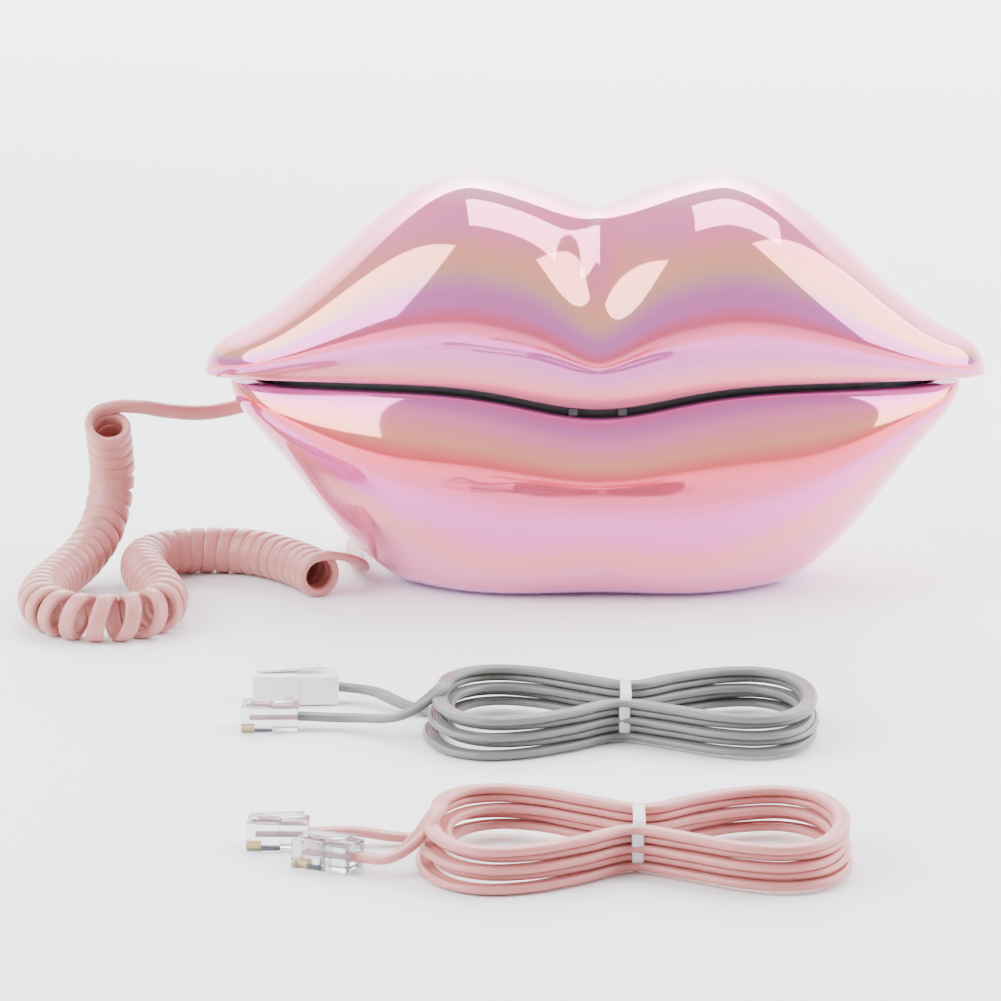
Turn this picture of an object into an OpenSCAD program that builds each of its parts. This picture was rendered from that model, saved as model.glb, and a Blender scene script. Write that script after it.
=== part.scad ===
// A desk telephone in the shape of a pair of closed lips.
// The upper lip is the handset and lifts off. The lower lip is the base.
// Millimetres. +X to the right seen from the front, the front faces -Y, +Z is up.
// The origin is on the table, under the middle of the phone.

/* [Lips] */
// Overall width, across the tips of the upper lip
body_w = 220; // [200:1:266]
// Overall depth, front to back
body_d = 92; // [86:1:112]
// Overall height, from the table to the tops of the two lobes
body_h = 115.5; // [108:0.5:139]
// Width across the lower lip
lower_w = 206; // [190:1:210]
// Height of the mouth line above the table, away from the middle
mouth_z = 61; // [58:0.5:66]
// How far the mouth line dips at the middle of the front
mouth_dip = 6.4; // [0:0.4:8]
// How far the mouth line falls towards the tips
mouth_fall = 3; // [0:0.5:4]
// Open gap between the lips
mouth_gap = 2.6; // [1:0.2:3]
// Distance from the middle to the top of each lobe
lobe_x = 34; // [28:1:40]
// How far the bow dips between the lobes
bow_dip = 10; // [4:0.5:14]
// Depth of the groove below the bow
groove_depth = 5.5; // [3:0.5:10]
// Wall of both lip shells
wall = 3; // [2:0.25:3.5]

/* [Plates and fits] */
// Thickness of the face plate, the cradle floor and the bottom cover
plate_t = 2.5; // [2:0.1:3]
// Gap round pieces that drop into place
drop_gap = 0.4; // [0.2:0.05:0.6]
// Gap round the keys, and round the ringer knob
key_gap = 0.35; // [0.2:0.05:0.5]
// Radial clearance of the hook plunger in the cradle floor
plunger_gap = 0.05; // [0.02:0.01:0.1]
// How far the rubber feet stand below the base
foot_lift = 1; // [0.5:0.1:1.5]
// Diameter of a rubber foot
foot_d = 10; // [8:0.5:11]

/* [Keypad] */
// Size of a key across the handset
key_w = 9.4; // [8:0.1:10.5]
// Size of a key along the handset
key_l = 7; // [6:0.1:8]
// Distance between keys across the handset
key_pitch_w = 13; // [12.5:0.1:14]
// Distance between keys along the handset
key_pitch_l = 11; // [10.6:0.1:12]
// How far a key stands out of the face plate
key_proud = 1.8; // [1.2:0.1:2.5]
// Travel of a key
key_travel = 1; // [0.6:0.1:1.2]

/* [Electrics] */
// Radius of the earpiece grille
ear_r = 16; // [14:0.5:17]
// Distance from the middle to the earpiece, and to the microphone
ear_x = 72; // [68:1:78]
// Width of the telephone line socket
line_socket_w = 9.9; // [9.8:0.05:10.2]
// Height of the telephone line socket
line_socket_h = 7; // [6.8:0.1:7.4]
// Width of a handset cord plug
cord_plug_w = 7.65; // [7.5:0.05:7.8]
// Height of a handset cord plug
cord_plug_h = 6.2; // [6:0.1:6.4]
// Length of a handset cord plug
cord_plug_l = 13; // [11:0.5:14]
// Thickness of the circuit boards
board_t = 1.6; // [1.2:0.1:2]

/* [Cords] */
// Width of the flat curly cord
cord_d = 4.6; // [4:0.1:5]
// Outer diameter of the curly cord's coil
coil_d = 13; // [12:0.5:14]
// Width of the flat line cords
line_d = 4; // [3.6:0.1:4.4]

/* [Hidden] */
$fn = 48;
half_w = body_w / 2;
half_d = body_d / 2;
low_half = lower_w / 2;

// Lip sections
tip_power = 40;
mouth_share = 0.83;
curl_angle = 30;
dip_spread = 27;
groove_spread = 12;
foot_half = 52;
foot_fade = 68;
foot_y = 31;
keel_y = 0.8;
foot_dent = 3;
low_inset = 1;
stations = 28;

// Heights of the plates
tray_floor = mouth_z - mouth_dip - mouth_gap - 1;
tray_top = mouth_z + 0.8;
tray_wall = 2;
face_z = mouth_z + 1.5;
face_top = face_z + plate_t;
base_z = foot_lift;
cover_top = base_z + wall;

// Handset fittings
handset_screw_x = 38;
handset_screw_y = 21;
boss_r = 3.5;
boss_sunk = 0.8;
screw_r = 1.4;
pilot_r = 1.5;
screw_hole_r = 1.7;
screw_head_r = 2.8;
screw_head_h = 1.6;
handset_screw_l = 12;
weight_x = 46;
weight_y = 11;
base_weight_x = 17;
flange_t = 1;
flange_side = 0.8;
mat_t = 1;
mat_z = face_top + flange_t + key_travel + 0.3;
keypad_l = 4 * key_pitch_l + key_l + 7;
keypad_w = 2 * key_pitch_w + key_w + 8;
keypad_x = key_pitch_l / 2 - 4;
receiver_r = ear_r - 1;
receiver_h = 9;
ear_spigot_r = ear_r - 3;
grille_t = 1.5;
mic_r = 4.8;
mic_h = 6;
mic_boot_r = 7;
mic_hole_r = 0.7;
mic_hole_pitch = 2.5;
ear_hole_r = 0.9;
ear_hole_pitch = 4;
jack_angle = 30;
jack_w = 12;
jack_h = 11;
jack_l = 16;
jack_x = -80;
jack_y = half_d * plan_share(-jack_x / half_w);
jack_z = face_top + jack_h / 2;
// The handset jack's inner end stands on the face plate, this share of its half depth from the middle
jack_seat = 0.514;
plate_half_d = (half_d - low_inset) * mouth_share - wall - drop_gap;
handset_jack_l = (jack_y - jack_seat * plate_half_d) / cos(jack_angle);

// Base fittings
post_x = 34;
post_y = 13;
post_r = 3.2;
base_screw_l = 12;
board_z = 15;
board_x = 30;
board_front = -22;
board_back = 34;
standoff_x = 24;
standoff_y = 10;
standoff_r = 2.5;
cover_r = 22;
cover_half = 46;
foot_x = 24;
foot_y_pos = 13;
foot_t = 2.2;
line_jack_x = 18;
cord_jack_x = -30;
cord_jack_h = 10;
line_jack_w = 14;
line_jack_h = 12;
socket_depth = 12;
ringer_x = -6;
ringer_travel = 2;
knob_front = -10.6;
knob_back = 1;
switch_front = -14;
switch_back = -8;
knob_w = 4;
knob_h = 3;
switch_body_w = 12;
switch_body_h = 6;
plunger_x = -44;
plunger_r = 2;
plunger_head_r = 3.8;
plunger_top = face_z - 0.05;
hook_travel = 3.6;
flange_z = tray_floor - plate_t - hook_travel - 2.4;
switch_z = flange_z - 17;
switch_h = 10;
switch_l = 20;
switch_w = 8;
pad_w = 2.5;
pad_x = 6.8;
pad_clear = 0.15;
pad_t = 1.6;
pad_set_in = 0.8;
spring_r = 2.6;
spring_wire_r = 0.3;
spring_turns = 4;
spring_gap = 0.4;
disc_r = 12;
disc_t = 4;
disc_y = -6;

// Keys: name, place along the handset, place across it
KEYS = [
    ["key_1", 0, 1], ["key_2", 0, 0], ["key_3", 0, -1],
    ["key_4", 1, 1], ["key_5", 1, 0], ["key_6", 1, -1],
    ["key_7", 2, 1], ["key_8", 2, 0], ["key_9", 2, -1],
    ["key_star", 3, 1], ["key_0", 3, 0], ["key_hash", 3, -1],
    ["key_redial", 4, 1], ["key_flash", 4, -1],
];

// Colours
PEARL = [0.93, 0.62, 0.72];
BLACK = [0.06, 0.06, 0.07];
SALMON = [0.89, 0.68, 0.65];
GREY = [0.72, 0.73, 0.76];
CLEAR = [0.86, 0.88, 0.9];
BOARD = [0.1, 0.4, 0.25];
STEEL = [0.7, 0.71, 0.73];

// ---------------------------------------------------------------- lip shapes

// Rounds both lips off at their tips: 1 along the lip, 0 at its very end
function tip(s) = sqrt(max(0.02, 1 - pow(s, tip_power)));

// Half depth of a lip as a share of its greatest half depth
function plan_share(s) = tip(s) * (0.12 + 0.88 * pow(max(0, 1 - pow(s, 2.4)), 0.72));

// Falls smoothly from 1 at the lobes to 0 at the tips
function bell(s, s0) = s < s0 ? 1 : 0.5 + 0.5 * cos(180 * min(1, (s - s0) / (1.03 - s0)));

// Distance along the bow, rounded at its lowest point
function bow_run(a) = min(1, (sqrt(a * a + 4) - 2) / lobe_x);

// Height of the mouth line, at the front (dips in the middle) or at the back
function mouth_height(a, front) =
    mouth_z - mouth_fall * pow(a / half_w, 4)
    - (front ? mouth_dip * exp(-pow(a / dip_spread, 2)) : 0);

function ridge_height(a, s, inset) =
    mouth_height(a, false)
    + (body_h - inset - mouth_z) * tip(s) * (0.17 + 0.83 * bell(s, lobe_x / half_w))
    - bow_dip * pow(1 - bow_run(a), 1.6);

// How far the lower lip's keel has risen, from 0 at the foot to 1 at the tip
function keel_rise(u) = (pow(u, 1.5) + 0.5 - 0.5 * cos(180 * pow(u, 1.1))) / 2;

function quarter(n) = [for (i = [0:n]) 90 * i / n];

// From the mouth's edge round to the widest point of a lip, as [y, z]
function curl(y_wide, z_wide, y_edge, z_edge, n) =
    let (rise = (z_edge - z_wide) / cos(curl_angle))
    let (run = (y_wide - y_edge) / (1 - sin(curl_angle)))
    [for (i = [0:n - 1])
        let (f = curl_angle + (90 - curl_angle) * i / n)
        [y_wide - run * (1 - sin(f)), z_wide + rise * cos(f)]];

// One side of the upper lip, from the mouth's edge up to the ridge
function upper_side(a, s, inset, front, n) =
    let (side = front ? -1 : 1)
    let (z_edge = mouth_height(a, front), z_top = ridge_height(a, s, inset))
    let (low = 0.335 - 0.06 * exp(-pow(a / 10, 2)))
    let (z_wide = z_edge + low * (z_top - z_edge))
    let (y_wide = side * (half_d - inset) * plan_share(s))
    let (groove = front ? groove_depth * exp(-pow(a / groove_spread, 2)) : 0)
    concat(
        curl(y_wide, z_wide, mouth_share * y_wide, z_edge, ceil(n / 2)),
        [for (f = quarter(n))
            [y_wide * cos(f) + groove * pow(sin(2 * f), 2), z_wide + (z_top - z_wide) * sin(f)]]);

// One side of the lower lip, from the mouth's edge down to the foot
function lower_side(a, s, inset, front, n) =
    let (side = front ? -1 : 1)
    let (z_edge = mouth_height(a, front) - mouth_gap)
    let (u = max(0, min(1, (a - foot_half) / (low_half - foot_half))))
    let (height = (z_edge - base_z - inset) * (1 - 0.87 * keel_rise(u)) * tip(s))
    let (z_keel = z_edge - height, z_wide = z_keel + 0.63 * height)
    let (y_wide = side * (half_d - low_inset - inset) * plan_share(s))
    let (dent = front ? foot_dent * exp(-pow(a / 18, 2)) : 0)
    let (fade = 0.5 + 0.5 * cos(180 * min(1, pow(a / foot_fade, 2.2))))
    let (foot = (foot_y - dent - inset) * fade)
    let (y_foot = side * max(keel_y, foot))
    concat(
        curl(y_wide, z_wide, mouth_share * y_wide, z_edge, ceil(n / 2)),
        [for (f = quarter(n))
            [y_foot + (y_wide - y_foot) * cos(f), z_wide - (z_wide - z_keel) * sin(f)]]);

// A lip's section as an arch, from one edge of the mouth round to the other
function arch(upper, x, half, inset, n) =
    let (a = abs(x), s = min(1, a / half))
    let (front = upper ? upper_side(a, s, inset, true, n) : lower_side(a, s, inset, true, n))
    let (back = upper ? upper_side(a, s, inset, false, n) : lower_side(a, s, inset, false, n))
    let (near = upper ? back : front, far = upper ? front : back)
    let (start = upper ? len(far) - 2 : len(far) - 1)
    [for (p = concat(near, [for (i = [start:-1:0]) far[i]])) [x, p[0], p[1]]];

// Arches from tip to tip
function arches(upper, inset, n) =
    let (half = (upper ? half_w : low_half) - 2 * inset)
    [for (k = [-stations:stations]) arch(upper, half * sin(90 * k / stations), half, inset, n)];

// Two triangles between neighbouring sections, from point a to point b of each
function strip(a, b, a_next, b_next) = [[a, a_next, b], [b, a_next, b_next]];

// A lip's hollow shell: its outside, its inside, and the rim round the mouth that joins them
module lip_shell(upper) {
    outside = arches(upper, 0, 10);
    inside = arches(upper, wall, 6);
    m = len(outside[0]);
    n = len(inside[0]);
    first = len(outside) * m;
    last = len(outside) - 1;
    polyhedron(
        points = concat([for (r = outside) each r], [for (r = inside) each r]),
        faces = concat(
            [for (k = [0:last - 1], i = [0:m - 2])
                each strip(k * m + i, k * m + i + 1, (k + 1) * m + i, (k + 1) * m + i + 1)],
            [for (k = [0:last - 1], i = [0:n - 2])
                let (a = first + k * n + i)
                each strip(a + 1, a, a + n + 1, a + n)],
            [for (k = [0:last - 1])
                let (a = k * m + m - 1, b = first + k * n + n - 1)
                each concat(strip(a, b, a + m, b + n),
                            strip(b - n + 1, a - m + 1, b + 1, a + 1))],
            [[for (i = [0:m - 1]) i],
             [for (i = [n - 1:-1:0]) first + i],
             [0, m - 1, first + n - 1, first],
             [for (i = [m - 1:-1:0]) last * m + i],
             [for (i = [0:n - 1]) first + last * n + i],
             [last * m, first + last * n, first + last * n + n - 1, last * m + m - 1]]));
}

// Joins a row of like rings into one closed solid
module loft(rings) {
    n = len(rings[0]);
    last = (len(rings) - 1) * n;
    polyhedron(
        points = [for (r = rings) each r],
        faces = concat(
            [[for (i = [0:n - 1]) i]],
            [for (k = [0:len(rings) - 2], i = [0:n - 1])
                let (a = k * n + i, b = k * n + (i + 1) % n)
                each strip(a, b, a + n, b + n)],
            [[for (i = [n - 1:-1:0]) last + i]]));
}

// Height of the handset's outside over a point well inside its outline
function roof(x, y) =
    let (a = abs(x), s = a / half_w, z_top = ridge_height(a, s, 0))
    let (z_wide = mouth_height(a, false) + 0.335 * (z_top - mouth_height(a, false)))
    z_wide + (z_top - z_wide) * sqrt(1 - pow(y / (half_d * plan_share(s)), 2));

// Outline of what closes a lip at the mouth, pulled in by inset
module mouth_outline(inset) {
    half = low_half - 3 * inset;
    depth = (half_d - low_inset) * mouth_share - inset;
    rim = [for (k = [-12:12]) let (x = half * sin(90 * k / 12)) [x, depth * plan_share(abs(x) / half)]];
    polygon(concat(rim, [for (k = [24:-1:0]) [rim[k][0], -rim[k][1]]]));
}

module stadium(half_length, r) {
    square([2 * (half_length - r), 2 * r], center = true);
    for (side = [-1, 1]) translate([side * (half_length - r), 0]) circle(r);
}

module at_corners(x, y) {
    for (sx = [-1, 1], sy = [-1, 1]) translate([sx * x, sy * y, 0]) children();
}

module block(low, high) {
    translate(low) cube(high - low);
}

// ------------------------------------------------------------------- cords

// Smooth curve through the route's points, with a few steps to each
function spline_at(p, k, t) =
    let (n = len(p) - 1)
    let (a = p[max(0, k - 1)], b = p[k], c = p[min(n, k + 1)], d = p[min(n, k + 2)])
    0.5 * (2 * b + (c - a) * t + (2 * a - 5 * b + 4 * c - d) * t * t
           + (3 * b - a - 3 * c + d) * t * t * t);

function smooth_route(p, steps) = concat(
    [for (k = [0:len(p) - 2], i = [0:steps - 1]) spline_at(p, k, i / steps)], [p[len(p) - 1]]);

function unit(v) = v / norm(v);

// A round tube swept along a route
module tube(route, r, sides, steps) {
    p = smooth_route(route, steps);
    n = len(p) - 1;
    loft([for (k = [0:n])
        let (ahead = unit(p[min(n, k + 1)] - p[max(0, k - 1)]))
        let (across = unit(cross(ahead, abs(ahead[2]) > 0.95 ? [0, 1, 0] : [0, 0, 1])))
        let (up = cross(ahead, across))
        [for (i = [0:sides - 1])
            p[k] + r * (cos(360 * (i + 0.5) / sides) * across + sin(360 * (i + 0.5) / sides) * up)]]);
}

coil_r = coil_d / 2;
lead_r = cord_d / 2;
tail_r = line_d / 2;

// Axis of the curly coil: down from its upper end and round the table to its lower end
COIL_ROUTE = [
    [-137, -13, 46], [-137, -6, 38], [-137, -1, 29], [-138, -2, 21], [-140, -8, 14],
    [-144, -18, 9], [-148, -30, 7], [-151, -44, 6.5], [-152, -58, 6.5], [-149, -71, 6.5],
    [-141, -80, 6.5], [-130, -82, 6.5], [-121, -76, 6.5], [-118, -64, 6.5], [-120, -50, 6.5],
    [-124, -36, 6.5], [-127, -22, 6.5], [-126, -9, 6.5], [-118, -1, 6.5], [-107, 1, 6.5],
    [-97, -2, 6.5], [-88, -11, 6.5], [-81, -22, 6.5], [-77, -31, 6.5],
];

// Straight lead from the handset's plug to the top of the coil
HANDSET_LEAD = [
    [-84, 38.2, 70.5], [-87, 43.4, 70.5], [-90, 48, 67.5], [-92, 50, 61], [-92.5, 47, 53],
    [-94, 40, 47.5], [-97, 31, 44.7], [-103.5, 22, 43.8], [-112, 12, 44.2], [-121, 3, 46.4],
    [-129, -5, 49.2],
];

// Straight lead from the coil's lower end round behind the base to its plug
BASE_LEAD = [
    [-71, -26, 10.6], [-67, -18.5, 7.5], [-66, -9, 4], [-67.5, 2, 2.4], [-69, 16, 2.4],
    [-69, 32, 2.4], [-65, 48, 2.4], [-56, 61, 2.4], [-45, 69, 2.6], [-36, 68, 5],
    [-31, 60, 8.4], [-30, 54, 9.2], [-30, 48.1, 9.2],
];

// Each line cord lies as a tied hank in front of the phone
GREY_AT = [4, -178];
PINK_AT = [4, -290];

// --------------------------------------------------------- handset modules

module at_handset_jack() {
    translate([jack_x, jack_y, jack_z])
        rotate([0, 0, jack_angle]) children();
}

// A jack's block with its socket, mouth on the y = 0 face and opening towards +Y
module jack_block(w, h, l, socket_w, socket_h) {
    difference() {
        block([-w / 2, -l, -h / 2], [w / 2, 0, h / 2]);
        block([-socket_w / 2, -socket_depth, -socket_h / 2], [socket_w / 2, 1, socket_h / 2]);
    }
}

module upper_lip_shell() {
    boss_top = roof(handset_screw_x + boss_r, handset_screw_y + boss_r) - boss_sunk;
    color(PEARL) resize([body_w, 0, 0]) difference() {
        union() {
            lip_shell(true);
            at_corners(handset_screw_x, handset_screw_y) translate([0, 0, face_top])
                cylinder(r = boss_r, h = boss_top - face_top, $fn = 24);
        }
        at_corners(handset_screw_x, handset_screw_y)
            translate([0, 0, face_z]) cylinder(r = pilot_r, h = handset_screw_l + 3, $fn = 24);
        at_handset_jack() block([-jack_w / 2 - drop_gap, -handset_jack_l, -jack_h / 2 - drop_gap],
                                [jack_w / 2 + drop_gap, handset_jack_l, jack_h / 2 + drop_gap]);
    }
}

module face_plate() {
    color(BLACK) difference() {
        translate([0, 0, face_z]) linear_extrude(plate_t) mouth_outline(wall + drop_gap);
        for (k = KEYS) translate([0, 0, face_z]) key_block(k, key_gap, -1, plate_t + 1);
        translate([-ear_x, 0, face_z - 1]) cylinder(r = ear_spigot_r + drop_gap, h = plate_t + 2);
        for (side = [-1, 0, 1])
            translate([ear_x + mic_hole_pitch * side, 0, face_z - 1]) cylinder(r = mic_hole_r, h = plate_t + 2);
        at_corners(handset_screw_x, handset_screw_y) translate([0, 0, face_z - 1]) {
            cylinder(r = screw_hole_r, h = plate_t + 2);
            cylinder(r = screw_head_r + 0.2, h = 1 + screw_head_h);
        }
    }
}

// A key's block, grown sideways by grow, from low to high
module key_block(k, grow, low, high) {
    x = keypad_x + (k[1] - 2) * key_pitch_l;
    y = k[2] * key_pitch_w;
    block([x - key_l / 2 - grow, y - key_w / 2 - grow, low],
          [x + key_l / 2 + grow, y + key_w / 2 + grow, high]);
}

module key(k) {
    color(GREY) {
        key_block(k, 0, face_z - key_proud, face_top + 0.1);
        key_block(k, flange_side, face_top + 0.1, face_top + flange_t);
    }
}

module earpiece_grille() {
    color(BLACK) translate([-ear_x, 0, face_z - grille_t]) difference() {
        union() {
            cylinder(r = ear_r, h = grille_t);
            cylinder(r = ear_spigot_r, h = grille_t + plate_t);
        }
        for (ring = [0:2], i = [0:max(0, 6 * ring - 1)])
            rotate([0, 0, ring == 0 ? 0 : 60 * i / ring]) translate([ring * ear_hole_pitch, 0, -1])
                cylinder(r = ear_hole_r, h = grille_t + plate_t + 2);
    }
}

module receiver_capsule() {
    color(STEEL) translate([-ear_x, 0, face_top]) {
        cylinder(r = receiver_r, h = receiver_h * 0.6);
        translate([0, 0, receiver_h * 0.6]) cylinder(r = receiver_r * 0.6, h = receiver_h * 0.4);
    }
}

module microphone_boot() {
    color(BLACK) translate([ear_x, 0, face_top]) difference() {
        cylinder(r = mic_boot_r, h = mic_h);
        translate([0, 0, -1]) cylinder(r = mic_r, h = mic_h + 2);
    }
}

module microphone_capsule() {
    color(STEEL) translate([ear_x, 0, face_top]) cylinder(r = mic_r, h = mic_h - 1);
}

module keypad_mat() {
    color(GREY) translate([keypad_x, 0, mat_z + mat_t / 2])
        cube([keypad_l, keypad_w, mat_t], center = true);
}

module keypad_board() {
    color(BOARD) translate([keypad_x, 0, mat_z + mat_t + board_t / 2])
        cube([keypad_l, keypad_w, board_t], center = true);
}

// Steel block between the keypad and the microphone
module handset_weight() {
    color(STEEL) block([weight_x, -weight_y, face_top], [weight_x + 14, weight_y, face_top + 6]);
}

module handset_jack() {
    color(BLACK) at_handset_jack()
        jack_block(jack_w, jack_h, handset_jack_l, cord_plug_w + drop_gap, cord_plug_h + drop_gap);
}

// A pan head screw, head down, shaft up from z = 0
module screw(length) {
    translate([0, 0, -screw_head_h]) cylinder(r = screw_head_r, h = screw_head_h, $fn = 32);
    cylinder(r = screw_r, h = length, $fn = 32);
}

module handset_screws() {
    color(STEEL) at_corners(handset_screw_x, handset_screw_y)
        translate([0, 0, face_z + screw_head_h]) screw(handset_screw_l);
}

// ------------------------------------------------------------ base modules

module at_line_jack() {
    translate([line_jack_x, half_d - 2.5, board_z + board_t + line_jack_h / 2]) children();
}

module at_cord_jack() {
    translate([cord_jack_x, half_d - 5.5, cover_top + 0.2 + cord_jack_h / 2]) children();
}

module at_ringer() {
    translate([ringer_x, half_d - 3, board_z + board_t + switch_body_h / 2]) children();
}

module lower_lip_shell() {
    color(PEARL) resize([lower_w, 0, 0]) difference() {
        lip_shell(false);
        translate([0, 0, -1]) linear_extrude(wall + 4) stadium(cover_half + drop_gap, cover_r + drop_gap);
        at_line_jack() block([-line_jack_w / 2 - drop_gap, -line_jack_w, -line_jack_h / 2 - drop_gap],
                             [line_jack_w / 2 + drop_gap, 9, line_jack_h / 2 + drop_gap]);
        at_cord_jack() block([-jack_w / 2 - drop_gap, -jack_l, -cord_jack_h / 2 - drop_gap],
                             [jack_w / 2 + drop_gap, 9, cord_jack_h / 2 + drop_gap]);
        at_ringer() block([-knob_w / 2 - ringer_travel - key_gap, -8, -knob_h / 2 - key_gap],
                          [knob_w / 2 + ringer_travel + key_gap, 9, knob_h / 2 + key_gap]);
    }
}

module cradle_tray() {
    color(BLACK) difference() {
        union() {
            difference() {
                translate([0, 0, tray_floor - plate_t]) linear_extrude(tray_top - tray_floor + plate_t)
                    mouth_outline(wall + drop_gap);
                translate([0, 0, tray_floor]) linear_extrude(tray_top)
                    mouth_outline(wall + drop_gap + tray_wall);
            }
            at_corners(post_x, post_y) translate([0, 0, cover_top])
                cylinder(r = post_r, h = tray_floor - plate_t / 2 - cover_top);
            for (side = [-1, 1]) translate([plunger_x, side * (switch_w / 2 + 1.1), 0])
                block([-switch_l / 2, -1, switch_z], [switch_l / 2, 1, tray_floor - plate_t / 2]);
        }
        translate([-ear_x, 0, face_z - grille_t - drop_gap]) cylinder(r = ear_r + drop_gap, h = body_h);
        at_corners(post_x, post_y) cylinder(r = pilot_r, h = cover_top + base_screw_l);
        translate([plunger_x, 0, switch_z]) cylinder(r = plunger_r + plunger_gap, h = body_h);
    }
}

module bottom_cover() {
    color(BLACK) difference() {
        union() {
            translate([0, 0, base_z]) linear_extrude(plate_t) stadium(cover_half, cover_r);
            at_corners(post_x, post_y) translate([0, 0, base_z]) cylinder(r = post_r, h = wall);
            at_corners(standoff_x, standoff_y) translate([0, 0, base_z])
                cylinder(r = standoff_r, h = board_z - base_z);
        }
        at_corners(post_x, post_y) {
            cylinder(r = screw_hole_r, h = cover_top + 1);
            cylinder(r = screw_head_r + 0.2, h = base_z + screw_head_h);
        }
        at_corners(foot_x, foot_y_pos) cylinder(r = foot_d / 2 + 0.05, h = foot_t);
    }
}

module rubber_feet() {
    color(BLACK) at_corners(foot_x, foot_y_pos) cylinder(r = foot_d / 2, h = foot_t);
}

// Small pads in the mouth that the handset's edge rests on
module rest_pads() {
    low = mouth_height(pad_x + pad_w / 2, true) - mouth_gap + pad_clear;
    high = mouth_height(pad_x - pad_w / 2, true) - pad_clear;
    edge_y = -(half_d - low_inset) * mouth_share;
    color(GREY) for (side = [-1, 1]) translate([side * pad_x, edge_y + pad_set_in, 0])
        block([-pad_w / 2, 0, low], [pad_w / 2, pad_t, high]);
}

module main_board() {
    color(BOARD) block([-board_x, board_front, board_z], [board_x, board_back, board_z + board_t]);
}

module base_weight() {
    color(STEEL)
        block([-base_weight_x, -weight_y, base_z + plate_t], [base_weight_x, weight_y, base_z + plate_t + 5]);
}

module ringer_disc() {
    color([0.8, 0.68, 0.35]) translate([0, disc_y, board_z + board_t])
        cylinder(r = disc_r, h = disc_t);
}

module ringer_switch() {
    color(STEEL) at_ringer() difference() {
        block([-switch_body_w / 2, switch_front, -switch_body_h / 2],
              [switch_body_w / 2, switch_back, switch_body_h / 2]);
        block([-knob_w / 2 - ringer_travel - key_gap, knob_front - drop_gap, -knob_h / 2 - key_gap],
              [knob_w / 2 + ringer_travel + key_gap, switch_back + 1, knob_h / 2 + key_gap]);
    }
}

module ringer_knob() {
    color(GREY) at_ringer() block([-knob_w / 2, knob_front, -knob_h / 2],
                                   [knob_w / 2, knob_back, knob_h / 2]);
}

module line_jack() {
    color(BLACK) at_line_jack()
        jack_block(line_jack_w, line_jack_h, line_jack_w, line_socket_w, line_socket_h);
}

module base_cord_jack() {
    color(BLACK) at_cord_jack()
        jack_block(jack_w, cord_jack_h, jack_l, cord_plug_w + drop_gap, cord_plug_h + drop_gap);
}

module hook_switch() {
    color(BLACK) translate([plunger_x, 0, switch_z])
        block([-switch_l / 2, -switch_w / 2, 0], [switch_l / 2, switch_w / 2, switch_h]);
}

module hook_plunger() {
    color(GREY) translate([plunger_x, 0, 0]) {
        translate([0, 0, flange_z]) cylinder(r = plunger_r, h = plunger_top - flange_z);
        translate([0, 0, flange_z]) cylinder(r = plunger_head_r - 0.4, h = 1.5);
        translate([0, 0, tray_floor + 2]) cylinder(r = plunger_head_r, h = plunger_top - tray_floor - 2);
    }
}

// Return spring between the hook switch and the plunger's flange
module hook_spring() {
    low = switch_z + switch_h + spring_gap;
    steps = 12 * spring_turns;
    color(STEEL) translate([plunger_x, 0, 0])
        tube([for (i = [0:steps]) [spring_r * cos(30 * i), spring_r * sin(30 * i),
              low + (flange_z - spring_gap - low) * i / steps]], spring_wire_r, 6, 1);
}

module base_screws() {
    color(STEEL) at_corners(post_x, post_y) translate([0, 0, base_z + screw_head_h]) screw(base_screw_l);
}

// ------------------------------------------------------------ cord modules

// A modular plug lying along Y, nose towards -Y, rear face at y = 0
module modular_plug(w, h, l) {
    block([-w / 2, -l, -h / 2], [w / 2, 0, h / 2]);
    block([-w / 5, -l + 2, h / 2], [w / 5, 2, h / 2 + 0.9]);
}

module cord_plug() {
    color(CLEAR) {
        block([-cord_plug_w / 2, 2 - cord_plug_l, -cord_plug_h / 2], [cord_plug_w / 2, 7, cord_plug_h / 2]);
    }
}

module handset_plug() {
    at_handset_jack() translate([0, 0.5, 0]) cord_plug();
}

module base_plug() {
    at_cord_jack() translate([0, 0.5, 0]) cord_plug();
}

module handset_lead() { color(SALMON) tube(HANDSET_LEAD, lead_r, 8, 2); }

module base_lead() { color(SALMON) tube(BASE_LEAD, lead_r, 8, 2); }

module curly_coil() { color(SALMON) tube(COIL_ROUTE, coil_r, 12, 1); }

hank_half = 50;
hank_r = 25;
hank_h = 12;
waist_w = 16;
tie_w = 6;
tie_t = 1;

module hank(at, tint) {
    color(tint) translate([at[0], at[1], 0]) {
        difference() {
            linear_extrude(hank_h) for (side = [-1, 1])
                translate([side * (hank_half - hank_r), 0]) circle(hank_r);
            block([-tie_w, -hank_r, -1], [tie_w, hank_r, hank_h + 1]);
        }
        block([-tie_w - 1, -waist_w / 2, tie_t], [tie_w + 1, waist_w / 2, hank_h - tie_t]);
    }
}

module tie(at, tint) {
    color(tint) translate([at[0], at[1], 0]) difference() {
        block([-tie_w / 2, -waist_w / 2 - tie_t, 0], [tie_w / 2, waist_w / 2 + tie_t, hank_h]);
        block([-tie_w, -waist_w / 2, tie_t], [tie_w, waist_w / 2, hank_h - tie_t]);
    }
}

// Places of the line cords' plugs: rear face [x, y], turn, height of the cord there
line_plug_w = 9.65;
line_plug_h = 6.6;
line_plug_l = 14;
wall_plug_w = 11;
wall_plug_h = 8;
wall_plug_l = 22;

module line_plug(at, turn, w, h, l) {
    color(CLEAR) translate([at[0], at[1], h / 2]) rotate([0, 0, turn]) modular_plug(w, h, l);
}

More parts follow.
